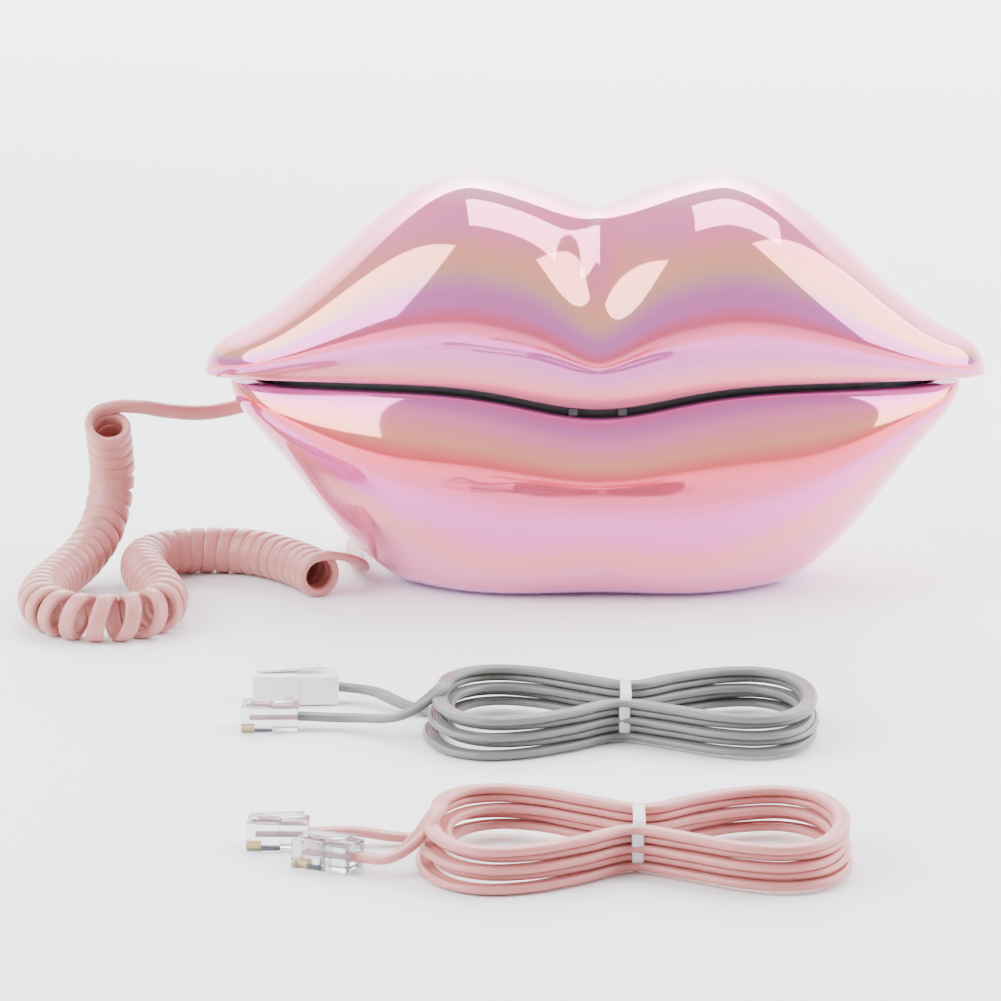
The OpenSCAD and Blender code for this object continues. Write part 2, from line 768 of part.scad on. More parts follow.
GREY_TAIL_A = [[-44, -169.5, 3], [-51, -158, 3], [-59, -149, 3.3], [-68, -146, 3.8]];
GREY_TAIL_B = [[-44.5, -184, 3], [-52, -181, 3], [-63, -175, 3.2], [-77, -173.5, 3.3]];
PINK_TAIL_A = [[-44, -280.5, 3], [-52, -276.5, 3], [-60, -276, 3.2], [-70, -277.5, 3.3]];
PINK_TAIL_B = [[-43.5, -300, 3], [-49, -302, 3], [-54, -300, 3.2], [-59, -296.5, 3.3]];

module grey_hank() { hank(GREY_AT, GREY); }
module grey_tie() { tie(GREY_AT, GREY); }
module pink_hank() { hank(PINK_AT, SALMON); }
module pink_tie() { tie(PINK_AT, GREY); }
module grey_tail_a() { color(GREY) tube(GREY_TAIL_A, tail_r, 8, 1); }
module grey_tail_b() { color(GREY) tube(GREY_TAIL_B, tail_r, 8, 1); }
module pink_tail_a() { color(SALMON) tube(PINK_TAIL_A, tail_r, 8, 1); }
module pink_tail_b() { color(SALMON) tube(PINK_TAIL_B, tail_r, 8, 1); }
module grey_wall_plug() { line_plug([-68, -146], -87, wall_plug_w, wall_plug_h, wall_plug_l); }
module grey_phone_plug() { line_plug([-77, -173.5], -90, line_plug_w, line_plug_h, line_plug_l); }
module pink_plug_a() { line_plug([-70, -277.5], -92, line_plug_w, line_plug_h, line_plug_l); }
module pink_plug_b() { line_plug([-59, -296.5], -118, line_plug_w, line_plug_h, line_plug_l); }

upper_lip_shell();
face_plate();
earpiece_grille();
receiver_capsule();
microphone_capsule();
microphone_boot();
keypad_mat();
keypad_board();
handset_weight();
handset_jack();
handset_screws();
lower_lip_shell();
cradle_tray();
bottom_cover();
rubber_feet();
rest_pads();
main_board();
base_weight();
ringer_disc();
ringer_switch();
ringer_knob();
line_jack();
base_cord_jack();
hook_switch();
hook_spring();
hook_plunger();
base_screws();
handset_plug();
handset_lead();
curly_coil();
base_lead();
base_plug();
grey_hank();
grey_tie();
grey_tail_a();
grey_tail_b();
grey_wall_plug();
grey_phone_plug();
pink_hank();
pink_tie();
pink_tail_a();
pink_tail_b();
pink_plug_a();
pink_plug_b();
for (k = KEYS) key(k);
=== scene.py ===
import math
import random

import bmesh
import bpy
import numpy as np
from mathutils import Matrix, Vector


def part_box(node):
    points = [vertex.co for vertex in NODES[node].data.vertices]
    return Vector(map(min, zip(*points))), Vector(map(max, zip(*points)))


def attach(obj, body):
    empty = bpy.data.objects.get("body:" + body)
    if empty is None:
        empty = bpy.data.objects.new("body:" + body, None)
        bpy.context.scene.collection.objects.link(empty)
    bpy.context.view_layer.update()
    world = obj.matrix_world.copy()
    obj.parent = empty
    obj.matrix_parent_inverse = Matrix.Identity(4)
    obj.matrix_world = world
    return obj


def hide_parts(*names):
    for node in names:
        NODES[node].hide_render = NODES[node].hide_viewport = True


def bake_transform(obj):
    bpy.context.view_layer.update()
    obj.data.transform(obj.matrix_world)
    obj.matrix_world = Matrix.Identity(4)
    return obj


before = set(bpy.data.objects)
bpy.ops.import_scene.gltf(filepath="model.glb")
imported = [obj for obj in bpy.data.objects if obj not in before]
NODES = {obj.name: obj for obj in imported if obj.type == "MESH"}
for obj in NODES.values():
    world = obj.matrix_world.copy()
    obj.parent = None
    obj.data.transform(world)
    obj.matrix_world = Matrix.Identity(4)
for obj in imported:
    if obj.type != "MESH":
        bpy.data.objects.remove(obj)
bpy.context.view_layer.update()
MM = 0.001
scene = bpy.context.scene


# ---------------------------------------------------------------- materials

def srgb(*color):
    """Linear colour of an 8 bit sRGB one."""
    shares = [c / 255 for c in color]
    return tuple(c / 12.92 if c <= 0.04 else ((c + 0.055) / 1.055) ** 2.4 for c in shares) + (1,)


GRAIN_HEIGHT = 0.0003


def finish_of(name, color, rough, metal=0.0, grain=600, depth=0.05, **more):
    """A material with a fine grain in its gloss and its surface."""
    m = bpy.data.materials.new(name)
    m.use_nodes = True
    nodes, links = m.node_tree.nodes, m.node_tree.links
    shader = nodes["Principled BSDF"]
    shader.inputs["Base Color"].default_value = color
    shader.inputs["Metallic"].default_value = metal
    for key, value in more.items():
        shader.inputs[key.replace("_", " ")].default_value = value
    where = nodes.new("ShaderNodeTexCoord")
    noise = nodes.new("ShaderNodeTexNoise")
    noise.inputs["Scale"].default_value = grain
    noise.inputs["Detail"].default_value = 4
    links.new(where.outputs["Object"], noise.inputs["Vector"])
    spread = nodes.new("ShaderNodeMapRange")
    spread.inputs["To Min"].default_value = rough * 0.75
    spread.inputs["To Max"].default_value = rough * 1.25
    links.new(noise.outputs["Fac"], spread.inputs["Value"])
    links.new(spread.outputs["Result"], shader.inputs["Roughness"])
    bump = nodes.new("ShaderNodeBump")
    bump.inputs["Strength"].default_value = depth
    bump.inputs["Distance"].default_value = GRAIN_HEIGHT
    links.new(noise.outputs["Fac"], bump.inputs["Height"])
    links.new(bump.outputs["Normal"], shader.inputs["Normal"])
    return m


def pearl_and_painted_reflection(name, stops, wander=0.06):
    """Iridescent moulding: its colour turns with the way the surface faces, partly its own pearl tint and partly
    painted reflection of the room above, the floor below and the horizon between, and it wanders a little.
    """
    m = finish_of(name, (1, 1, 1, 1), 0.05, 0.6, grain=900, depth=0.006, Coat_Weight=0.25, Coat_Roughness=0.03)
    nodes, links = m.node_tree.nodes, m.node_tree.links
    where = nodes.new("ShaderNodeTexCoord")
    split = nodes.new("ShaderNodeSeparateXYZ")
    links.new(where.outputs["Normal"], split.inputs["Vector"])
    drift = nodes.new("ShaderNodeTexNoise")
    drift.inputs["Scale"].default_value = 9
    drift.inputs["Detail"].default_value = 1
    links.new(where.outputs["Object"], drift.inputs["Vector"])
    turn = nodes.new("ShaderNodeMapRange")
    turn.inputs["From Min"].default_value = -1
    links.new(split.outputs["Z"], turn.inputs["Value"])
    shift = nodes.new("ShaderNodeMath")
    shift.operation = "MULTIPLY_ADD"
    shift.inputs[1].default_value = wander
    links.new(drift.outputs["Fac"], shift.inputs[0])
    links.new(turn.outputs["Result"], shift.inputs[2])
    less = nodes.new("ShaderNodeMath")
    less.inputs[1].default_value = -wander / 2
    links.new(shift.outputs[0], less.inputs[0])
    ramp = nodes.new("ShaderNodeValToRGB")
    elements = ramp.color_ramp.elements
    for spare in list(elements)[1:]:
        elements.remove(spare)
    elements[0].position = 0
    elements[0].color = srgb(*stops[0][1])
    for facing, color in stops[1:]:
        elements.new((facing + 1) / 2).color = srgb(*color)
    links.new(less.outputs[0], ramp.inputs["Fac"])
    # Painted reflection: the bands of the room and floor mirrored in the pearl go into its base colour here
    links.new(ramp.outputs["Color"], nodes["Principled BSDF"].inputs["Base Color"])
    return m


# The pearl's colours, deeper than they look in the light: its own tints mixed with painted reflection of the
# room and floor
BLUSH, PALE_LILAC, ROSE = (250, 190, 212), (248, 192, 246), (248, 128, 178)
PINK, ORCHID, LILAC = (241, 142, 180), (238, 112, 190), (214, 112, 180)
MAUVE, CRIMSON, SCARLET = (214, 138, 170), (230, 94, 130), (248, 86, 100)
CORAL, SAND, APRICOT = (246, 142, 144), (230, 158, 140), (249, 158, 130)

# How far up the surface faces, from -1 to 1, and its colour there: partly the pearl's own tint, partly painted
# reflection of the room above, the floor below and the horizon between
UPPER_PEARL_AND_REFLECTION = pearl_and_painted_reflection("upper_pearl_and_reflection", [
    (-1.0, MAUVE), (-0.54, CORAL), (-0.27, LILAC), (-0.12, ORCHID), (-0.05, CRIMSON), (0.08, CRIMSON),
    (0.2, LILAC), (0.3, LILAC), (0.38, MAUVE), (0.48, SAND), (0.57, APRICOT), (0.66, CORAL), (0.75, ROSE),
    (0.86, ROSE), (1.0, BLUSH)])
LOWER_PEARL_AND_REFLECTION = pearl_and_painted_reflection("lower_pearl_and_reflection", [
    (-1.0, PALE_LILAC), (-0.7, PINK), (-0.5, PINK), (-0.35, CORAL), (-0.22, ORCHID), (-0.14, ORCHID),
    (-0.05, CRIMSON), (0.09, SCARLET), (0.22, APRICOT), (0.3, CORAL), (0.43, ROSE), (0.56, LILAC), (1.0, LILAC)])
BLACK = finish_of("black_plastic", srgb(24, 22, 24), 0.42, grain=1500, depth=0.25)
RUBBER = finish_of("black_rubber", srgb(20, 20, 21), 0.75, grain=1200, depth=0.4)
PAD = finish_of("grey_rubber", srgb(58, 56, 60), 0.6, grain=1200, depth=0.3)
STEEL = finish_of("steel", srgb(196, 198, 202), 0.28, 1.0, grain=900, depth=0.12)
BOARD = finish_of("circuit_board", srgb(34, 92, 52), 0.35, grain=300, depth=0.08)
BRASS = finish_of("brass_disc", srgb(214, 178, 96), 0.3, 1.0, grain=500, depth=0.1)
GOLD = finish_of("gold_contacts", srgb(226, 178, 84), 0.22, 1.0, grain=900, depth=0.05)
GREY = finish_of("grey_plastic", srgb(176, 176, 180), 0.38, grain=1400, depth=0.15)
CLEAR = finish_of("clear_plastic", srgb(240, 246, 250), 0.08, grain=200, depth=0.02,
                  Transmission_Weight=0.9, IOR=1.5)
WHITE = finish_of("white_plastic", srgb(238, 238, 236), 0.35, grain=1200, depth=0.12)
SALMON = finish_of("salmon_cord", srgb(192, 126, 118), 0.34, grain=700, depth=0.12,
                   Subsurface_Weight=0.08, Subsurface_Scale=0.002)
PINK = finish_of("pink_cord", srgb(204, 130, 124), 0.36, grain=700, depth=0.12,
                 Subsurface_Weight=0.08, Subsurface_Scale=0.002)
GREY_CORD = finish_of("grey_cord", srgb(114, 115, 109), 0.36, grain=700, depth=0.12)
TIE = finish_of("wire_tie", srgb(222, 222, 220), 0.45, grain=900, depth=0.2)
INK = finish_of("key_ink", srgb(40, 40, 44), 0.5, grain=900, depth=0.02)


# ------------------------------------------------------------------- meshes

def piece(name, points, faces, material, body, nodes=(), crease=35):
    """A mesh in millimetres that rides on a body and stands for CAD nodes."""
    mesh = bpy.data.meshes.new(name)
    mesh.from_pydata([tuple(p) for p in np.asarray(points, float) * MM], [], faces)
    mesh.validate()
    return settle(bpy.data.objects.new(name, mesh), material, body, nodes, crease)


def settle(obj, material, body, nodes=(), crease=35):
    """Links a mesh, shades it, and says which body it rides on and which nodes it stands for."""
    if obj.name not in scene.collection.objects:
        scene.collection.objects.link(obj)
    if not obj.data.materials:
        obj.data.materials.append(material)
    for polygon in obj.data.polygons:
        polygon.use_smooth = True
    obj.data.set_sharp_from_angle(angle=math.radians(crease))
    if body:
        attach(obj, body)
    if nodes:
        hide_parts(*nodes)
    return obj


def rounded_box(bm, low, high, r, segments=3, matrix=None):
    """Adds a box with rounded edges to a bmesh, in millimetres."""
    size = Vector(high) - Vector(low)
    at = Matrix.Translation((Vector(high) + Vector(low)) / 2) @ Matrix.Diagonal((*size, 1))
    made = bmesh.ops.create_cube(bm, size=1, matrix=at)["verts"]
    edges = list({e for v in made for e in v.link_edges})
    if r > 0:
        bevel = bmesh.ops.bevel(bm, geom=edges, offset=r, segments=segments, affect="EDGES", profile=0.5)
        made = bevel["verts"]
    if matrix is not None:
        bmesh.ops.transform(bm, matrix=matrix, verts=made)
    return made


def mesh_of(name, bm):
    """Turns a bmesh in millimetres into a mesh in metres."""
    bmesh.ops.recalc_face_normals(bm, faces=bm.faces)
    bmesh.ops.scale(bm, vec=(MM, MM, MM), verts=bm.verts)
    mesh = bpy.data.meshes.new(name)
    bm.to_mesh(mesh)
    bm.free()
    return mesh


def from_bmesh(name, bm, materials, body, nodes, crease=40):
    """A piece from a bmesh whose faces already say which of the materials they have."""
    mesh = mesh_of(name, bm)
    for m in materials:
        mesh.materials.append(m)
    return settle(bpy.data.objects.new(name, mesh), None, body, nodes, crease)


def tint(bm, verts, index):
    """Gives the faces of these vertices a material slot."""
    chosen = set(verts)
    for f in bm.faces:
        if all(v in chosen for v in f.verts):
            f.material_index = index


def smooth_line(points, spacing=1.0, before=None, after=None):
    """Centripetal Catmull-Rom curve through points, sampled about every spacing."""
    p = [np.array(q, float) for q in points]
    p = [np.array(before, float) if before is not None else 2 * p[0] - p[1]] + p
    p.append(np.array(after, float) if after is not None else 2 * p[-1] - p[-2])
    out = []
    for k in range(1, len(p) - 2):
        a, b, c, d = p[k - 1:k + 3]
        t1 = np.linalg.norm(b - a) ** 0.5
        t2 = t1 + np.linalg.norm(c - b) ** 0.5
        t3 = t2 + np.linalg.norm(d - c) ** 0.5
        steps = max(2, int(np.linalg.norm(c - b) / spacing))
        for i in range(steps):
            t = t1 + (t2 - t1) * i / steps
            u = a + (b - a) * t / t1
            v = b + (c - b) * (t - t1) / (t2 - t1)
            w = c + (d - c) * (t - t2) / (t3 - t2)
            uv = u + (v - u) * t / t2
            vw = v + (w - v) * (t - t1) / (t3 - t1)
            out.append(uv + (vw - uv) * (t - t1) / (t2 - t1))
    out.append(p[-2])
    return np.array(out)


def unit(v):
    """A vector made one long."""
    return v / np.linalg.norm(v)


def tangents(line):
    """The way the line runs at each of its points."""
    t = np.gradient(line, axis=0)
    return t / np.linalg.norm(t, axis=1)[:, None]


def carried(line, first, last=None):
    """Normals carried along a line from first, turned evenly so that they end at last."""
    t = tangents(line)
    n = [unit(first - t[0] * (first @ t[0]))]
    for k in range(1, len(line)):
        v = n[-1] - t[k] * (n[-1] @ t[k])
        n.append(unit(v))
    n = np.array(n)
    if last is not None:
        want = unit(last - t[-1] * (last @ t[-1]))
        turn = math.atan2(np.cross(n[-1], want) @ t[-1], n[-1] @ want)
        side = np.cross(t, n)
        a = np.linspace(0, turn, len(line))[:, None]
        n = n * np.cos(a) + side * np.sin(a)
    return n


RIB_DEPTH = 0.16


def flat_profile(width, thick, ribs=0, arc=6):
    """Round-edged flat section as (across, up) pairs, with shallow ribs along it if ribs is not 0."""
    out = []
    r = thick / 2
    flat = width / 2 - r
    for i in range(arc + 1):
        a = -math.pi / 2 + math.pi * i / arc
        out.append((flat + r * math.cos(a), r * math.sin(a)))
    along = max(3, 4 * ribs + 1)
    for side in (1, -1):
        row = []
        for i in range(1, along):
            x = flat - 2 * flat * i / along
            dent = RIB_DEPTH * (0.5 - 0.5 * math.cos(2 * math.pi * ribs * i / along)) if ribs else 0
            row.append((side * x, side * (r - dent)))
        out += row
        if side == 1:
            for i in range(arc + 1):
                a = math.pi / 2 + math.pi * i / arc
                out.append((-flat + r * math.cos(a), r * math.sin(a)))
    return np.array(out)


def sweep(line, normals, profile):
    """Points and faces of a profile carried along a line."""
    t = tangents(line)
    across = np.cross(t, normals)
    m = len(profile)
    points = (line[:, None, :] + profile[None, :, :1] * across[:, None, :]
              + profile[None, :, 1:] * normals[:, None, :]).reshape(-1, 3)
    faces = []
    for k in range(len(line) - 1):
        for i in range(m):
            a, b = k * m + i, k * m + (i + 1) % m
            faces.append((a, a + m, b + m, b))
    faces.append(tuple(range(m)))
    faces.append(tuple((len(line) - 1) * m + i for i in reversed(range(m))))
    return points, faces


# ------------------------------------------------------------------- camera

LENS, SENSOR = 165.4, 36
CAMERA_BACK = 1.3
CAMERA_RIGHT, CAMERA_UP = -0.0268, -0.0361
LOOK_AT = Vector((0, 0, 0.058))
camera = bpy.data.objects.new("camera", bpy.data.cameras.new("camera"))
camera.data.lens = LENS
camera.data.sensor_width = SENSOR
camera.data.clip_start = 0.05
camera.data.clip_end = 50
TILT = math.radians(12)
RIGHT, UP = Vector((1, 0, 0)), Vector((0, math.sin(TILT), math.cos(TILT)))
BACK = Vector((0, -math.cos(TILT), math.sin(TILT)))
camera.matrix_world = Matrix((
    (RIGHT.x, UP.x, BACK.x, 0), (RIGHT.y, UP.y, BACK.y, 0), (RIGHT.z, UP.z, BACK.z, 0), (0, 0, 0, 1)))
camera.location = LOOK_AT + BACK * CAMERA_BACK + RIGHT * CAMERA_RIGHT + UP * CAMERA_UP
scene.collection.objects.link(camera)
scene.camera = camera


# -------------------------------------------------------------------- cords

TABLE = 0.05    # the cords' undersides, just above the table

# Axis of the curly coil, then the straight leads at its two ends
COIL_ROUTE = [
    (-137, -13, 46), (-137, -6, 38), (-137, -1, 29), (-138, -2, 21), (-140, -8, 14),
    (-144, -18, 9), (-148, -30, 7), (-151, -44, 6.5), (-152, -58, 6.5), (-149, -71, 6.5),
    (-141, -80, 6.5), (-130, -82, 6.5), (-121, -76, 6.5), (-118, -64, 6.5), (-120, -50, 6.5),
    (-124, -36, 6.5), (-127, -22, 6.5), (-126, -9, 6.5), (-118, -1, 6.5), (-107, 1, 6.5),
    (-97, -2, 6.5), (-88, -11, 6.5), (-81, -22, 6.5), (-77, -31, 6.5)]
HANDSET_LEAD = [
    (-84, 38.2, 70.5), (-87, 43.4, 70.5), (-90, 48, 67.5), (-92, 50, 61), (-92.5, 47, 53),
    (-94, 40, 47.5), (-97, 31, 44.7), (-103.5, 22, 43.8), (-112, 12, 44.2), (-121, 3, 46.4), (-129, -5, 49.2)]
BASE_LEAD = [
    (-71, -26, 10.6), (-67, -18.5, 7.5), (-66, -9, 4), (-67.5, 2, 2.4), (-69, 16, 2.4),
    (-69, 32, 2.4), (-65, 48, 2.4), (-56, 61, 2.4), (-45, 69, 2.6), (-36, 68, 5),
    (-31, 60, 8.4), (-30, 54, 9.2), (-30, 48.1, 9.2)]
WIRE_W, WIRE_T, WIRE_R = 4.6, 2.3, 5.3
PITCH, TURN_STEPS = 4.75, 24
# The turns open up round the bend on the table, and are uneven near it
OPENED, OPENED_AT, OPENED_OVER = 1.6, 140, 42
UNEVEN, UNEVEN_EVERY, UNEVEN_AT, UNEVEN_OVER = 0.35, 17, 120, 90
FIRST_OUT = (0, 0.75, 0.66)
EASED = 6       # steps of the helix that its leads run on from


def curly_line():
    """Centre line and outward normals of the curly cord, from plug to plug."""
    axis = smooth_line(COIL_ROUTE, 0.5)
    run = np.concatenate([[0], np.cumsum(np.linalg.norm(np.diff(axis, axis=0), axis=1))])
    opened = PITCH + OPENED * np.exp(-((run - OPENED_AT) / OPENED_OVER) ** 4)
    opened += UNEVEN * np.sin(run / UNEVEN_EVERY) * np.exp(-((run - UNEVEN_AT) / UNEVEN_OVER) ** 4)
    angle = np.concatenate([[0], np.cumsum(np.diff(run) * 2 * math.pi / opened[1:])])
    e1 = carried(axis, np.array(FIRST_OUT))
    e2 = np.cross(e1, tangents(axis))
    up = unit(np.array((0, 0, 1.0)) - tangents(axis)[-1] * tangents(axis)[-1][2])
    over = math.atan2(up @ e2[-1], up @ e1[-1]) % (2 * math.pi)
    turns = 2 * math.pi * round((angle[-1] - over) / (2 * math.pi)) + over
    angle *= turns / angle[-1]
    steps = int(turns / (2 * math.pi) * TURN_STEPS)
    a = np.linspace(0, turns, steps + 1)
    at = [np.interp(a, angle, axis[:, i]) for i in range(3)]
    n = [np.interp(a, angle, e1[:, i]) for i in range(3)]
    b = [np.interp(a, angle, e2[:, i]) for i in range(3)]
    at, n, b = (np.stack(v, 1) for v in (at, n, b))
    out = n * np.cos(a)[:, None] + b * np.sin(a)[:, None]
    out /= np.linalg.norm(out, axis=1)[:, None]
    helix = at + WIRE_R * out
    lead_in = smooth_line(HANDSET_LEAD + [tuple(helix[0])], 1.5, after=helix[EASED])
    lead_out = smooth_line([tuple(helix[-1])] + BASE_LEAD, 1.5, before=helix[-1 - EASED])
    up = np.array((0, 0, 1.0))
    line = np.concatenate([lead_in[:-1], helix, lead_out[1:]])
    n_in = carried(lead_in, up, out[0])
    n_out = carried(lead_out, out[-1], up)
    return line, np.concatenate([n_in[:-1], out, n_out[1:]])


curly, curly_normals = curly_line()
t_curly = tangents(curly)
curly_normals -= t_curly * (curly_normals * t_curly).sum(1)[:, None]
curly_normals /= np.linalg.norm(curly_normals, axis=1)[:, None]
points, faces = sweep(curly, curly_normals, flat_profile(WIRE_W, WIRE_T))
points[:, 2] = np.maximum(points[:, 2], TABLE)
curly_cord = piece("curly_cord", points, faces, SALMON, None,
                   ("handset_lead", "curly_coil", "base_lead"), 60)
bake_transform(curly_cord)


def wobble(seed):
    """A smooth random wander of one, from a few sine waves."""
    rng = random.Random(seed)
    parts = [(rng.uniform(-1, 1) / k, k, rng.uniform(0, 6.3)) for k in (1, 2, 3)]
    return lambda t: sum(a * math.sin(k * t + f) for a, k, f in parts)


HANK_TURNS, HANK_STEPS, HANK_START = 5, 72, math.radians(163)
HANK_PULLS = [0, 3.4, 1.0, 4.2, 1.8, 2.4]    # how far in each turn lies
HANK_HALF, HANK_LOBE, HANK_WAIST = 47.8, 44, 4.5
HANK_UNEVEN = 0.7


def hank_line(at, tail_a, tail_b, seed):
    """Centre line of a line cord: tail, turns pinched at the tie, tail."""
    wander = wobble(seed)
    line = []
    for i in range(HANK_STEPS * HANK_TURNS + 5):
        turn = i / HANK_STEPS
        t = HANK_START + 2 * math.pi * turn
        k = min(int(turn), HANK_TURNS)
        mix = 0.5 - 0.5 * math.cos(math.pi * min(1, max(0, (turn - k - 0.3) / 0.4)))
        here, following = HANK_PULLS[k], HANK_PULLS[min(k + 1, HANK_TURNS)]
        pull = here + (following - here) * mix + HANK_UNEVEN * wander(t * 1.7)
        c, s = math.cos(t), math.sin(t)
        lobe = (HANK_LOBE - 1.9 * pull) * s * math.sqrt(c * c + 0.004)
        waist = (HANK_WAIST - 0.25 * pull) * s
        line.append((at[0] + (HANK_HALF - pull) * c, at[1] + lobe + waist, 1.0 + 2.0 * turn))
    return smooth_line(tail_a[::-1] + line[::3] + tail_b, 1.3)


GREY_AT, PINK_AT = (4, -178), (4, -290)
LINE_W, LINE_T = 4.0, 1.9
# Name, place, tail to one plug, tail to the other, seed, ribs, material and slot
LINE_CORDS = [
    ("grey", GREY_AT, [(-51, -158, 2.2), (-59, -149, 3.3), (-68, -146, 3.8)],
     [(-51, -181.5, 5.5), (-63, -175, 3.2), (-77, -173.5, 3.3)], 5, 3, GREY_CORD, "grey_cord"),
    ("pink", PINK_AT, [(-52, -276.5, 2.2), (-60, -276, 3.2), (-70, -277.5, 3.3)],
     [(-47, -299, 6.5), (-51.5, -300.5, 4), (-59, -296.5, 3.3)], 9, 1, PINK, "salmon_cord")]
cords = {}
for name, at, tail_a, tail_b, seed, ribs, look, slot_name in LINE_CORDS:
    line = hank_line(at, tail_a, tail_b, seed)
    level = np.array((0, 0, 1.0)) - tangents(line) * tangents(line)[:, 2:]
    level /= np.linalg.norm(level, axis=1)[:, None]
    points, faces = sweep(line, level, flat_profile(LINE_W, LINE_T, ribs))
    points[:, 2] = np.maximum(points[:, 2], TABLE)
    cord = piece(name + "_cord", points, faces, look, "base",
                 (name + "_hank", name + "_tail_a", name + "_tail_b"), 60)
    cords[name] = (cord, line)


# -------------------------------------------------------------------- plugs

CONTACT_PITCH = 1.02
LATCH_TILT = math.radians(3)


def modular_plug(name, size, matrix, node, body, boot=0.0, look=CLEAR):
    """A modular plug along Y, nose to -Y, rear at y = 0: body, latch, four contacts and wires."""
    w, h, l = size
    nose = -l
    bm = bmesh.new()
    rounded_box(bm, (-w / 2, nose, -h / 2), (w / 2, -0.45 * l, h / 2), 0.5)
    rounded_box(bm, (-w / 2 + 0.35, -0.47 * l, -h / 2 + 0.2), (w / 2 - 0.35, boot, h / 2 - 0.2), 0.6)
    rounded_box(bm, (-w * 0.2, nose + 1.2, h / 2 - 0.3), (w * 0.2, nose + 3.2, h / 2 + 0.9), 0.3)
    latch = Matrix.Translation((0, nose + 2.4, h / 2 + 0.25)) @ Matrix.Rotation(LATCH_TILT, 4, "X")
    rounded_box(bm, (-w * 0.2, 0, -0.1), (w * 0.2, 0.75 * l, 0.55), 0.2, 2, latch)
    for k in range(4):
        x = (k - 1.5) * CONTACT_PITCH
        contact = rounded_box(bm, (x - 0.22, nose - 0.02, -h / 2 - 0.03),
                              (x + 0.22, nose + 3.2, -h / 2 + 1.6), 0.08, 1)
        tint(bm, contact, 1)
        wire = rounded_box(bm, (x - 0.32, nose + 2, -0.35), (x + 0.32, -0.5, 0.3), 0.25, 2)
        tint(bm, wire, 2)
    bmesh.ops.transform(bm, matrix=matrix, verts=bm.verts)
    return from_bmesh(name, bm, (look, GOLD, SALMON), body, (node,))


def placed(at, turn):
    """A place in millimetres, turned about Z by degrees."""
    return Matrix.Translation(at) @ Matrix.Rotation(math.radians(turn), 4, "Z")


LINE_PLUG, WALL_PLUG, CORD_PLUG = (9.65, 6.6, 14), (11, 8, 22), (7.65, 5.2, 11)
CORD_BOOT = 7
HANDSET_JACK, HANDSET_JACK_TURN = (-80, 31.32, 70.5), 30
BASE_JACK = (-30, 40.5, 9.2)

phone_plug_grey = modular_plug("line_plug_grey", LINE_PLUG, placed((-77, -173.5, 3.3), -90),
                               "grey_phone_plug", "base")
plug_pink_a = modular_plug("line_plug_pink_a", LINE_PLUG, placed((-70, -277.5, 3.3), -92),
                           "pink_plug_a", "base")
plug_pink_b = modular_plug("line_plug_pink_b", LINE_PLUG, placed((-59, -296.5, 3.3), -118),
                           "pink_plug_b", "base")
wall_plug = modular_plug("wall_plug", WALL_PLUG, placed((-68, -146, 4), -87), "grey_wall_plug", "base",
                         look=WHITE)


def cord_plug(name, node, body, at, turn):
    """A plug of the curly cord, pushed into a jack."""
    shift = placed(at, turn) @ Matrix.Translation((0, 0.5, 0))
    return modular_plug(name, CORD_PLUG, shift, node, body, boot=CORD_BOOT)


handset_plug = cord_plug("curly_plug_handset", "handset_plug", "handset", HANDSET_JACK, HANDSET_JACK_TURN)
base_plug = cord_plug("curly_plug_base", "base_plug", "base", BASE_JACK, 0)


TIE_TOP = 12.3


def wire_tie(name, node, at):
    """A plastic-covered wire round the hank's waist, twisted together behind it."""
    loop = [(-0.3, -8.2, 2), (-0.3, -8.3, 9), (0, -6.6, 11.3), (0.1, 0, 11.5), (0.2, 6.6, 11.3), (0.3, 8.3, 9),
            (0.3, 8.2, 2), (0.1, 6.5, 0.7), (0, 0, 0.6), (-0.2, -6.5, 0.7)]
    line = smooth_line(loop + [loop[0]], 1.0, before=loop[-1], after=loop[1])
    parts = [(line, flat_profile(2.8, 0.9))]
    for phase in (0, math.pi):
        run = np.linspace(0, 1, 40)
        twist = np.stack([0.2 + 0.5 * np.cos(12 * run + phase), 8.4 + 1.2 * np.sin(math.pi * run / 2),
                          8.6 - 5 * run + 0.4 * np.sin(12 * run + phase)], 1)
        parts.append((twist, flat_profile(1.1, 0.7)))
    all_points, all_faces = [], []
    for line, profile in parts:
        p, f = sweep(line, carried(line, np.array((0.0, 1.0, 0.3))), profile)
        base = sum(len(q) for q in all_points)
        all_points.append(p)
        all_faces += [tuple(i + base for i in face) for face in f]
    p = np.concatenate(all_points)
    p[:, 2] = np.clip(p[:, 2], TABLE, TIE_TOP)
    return piece(name, p + np.array((at[0], at[1], 0)), all_faces, TIE, "base", (node,), 50)


grey_tie = wire_tie("grey_wire_tie", "grey_tie", GREY_AT)
pink_tie = wire_tie("pink_wire_tie", "pink_tie", PINK_AT)

WITH_CORDS = {"grey": (phone_plug_grey, wall_plug, grey_tie), "pink": (plug_pink_a, plug_pink_b, pink_tie)}
for name, pieces in WITH_CORDS.items():
    cord, line = cords[name]


# --------------------------------------------------------------------- lips

BODY_W, BODY_D, BODY_H, LOWER_W = 220.0, 92.0, 115.5, 206.0
MOUTH_Z, MOUTH_DIP, MOUTH_FALL, MOUTH_GAP = 61.0, 6.4, 3.0, 2.6
LOBE_X, BOW_DIP, GROOVE, WALL, BASE_Z = 34.0, 10.0, 5.5, 3.0, 1.0
TIP_POWER, MOUTH_SHARE, CURL_ANGLE = 40, 0.83, math.radians(30)
DIP_SPREAD, GROOVE_SPREAD, DENT_SPREAD, BOW_SPREAD = 27, 12, 18, 10
FOOT_HALF, FOOT_FADE, FOOT_Y, FOOT_DENT, KEEL_Y = 52, 68, 31, 3, 0.8
LOW_INSET = 1
STATIONS = 150


def tip(s):
    """Rounds a lip off at its tips: 1 along it, 0 at its very end."""
    return math.sqrt(max(0.02, 1 - s ** TIP_POWER))


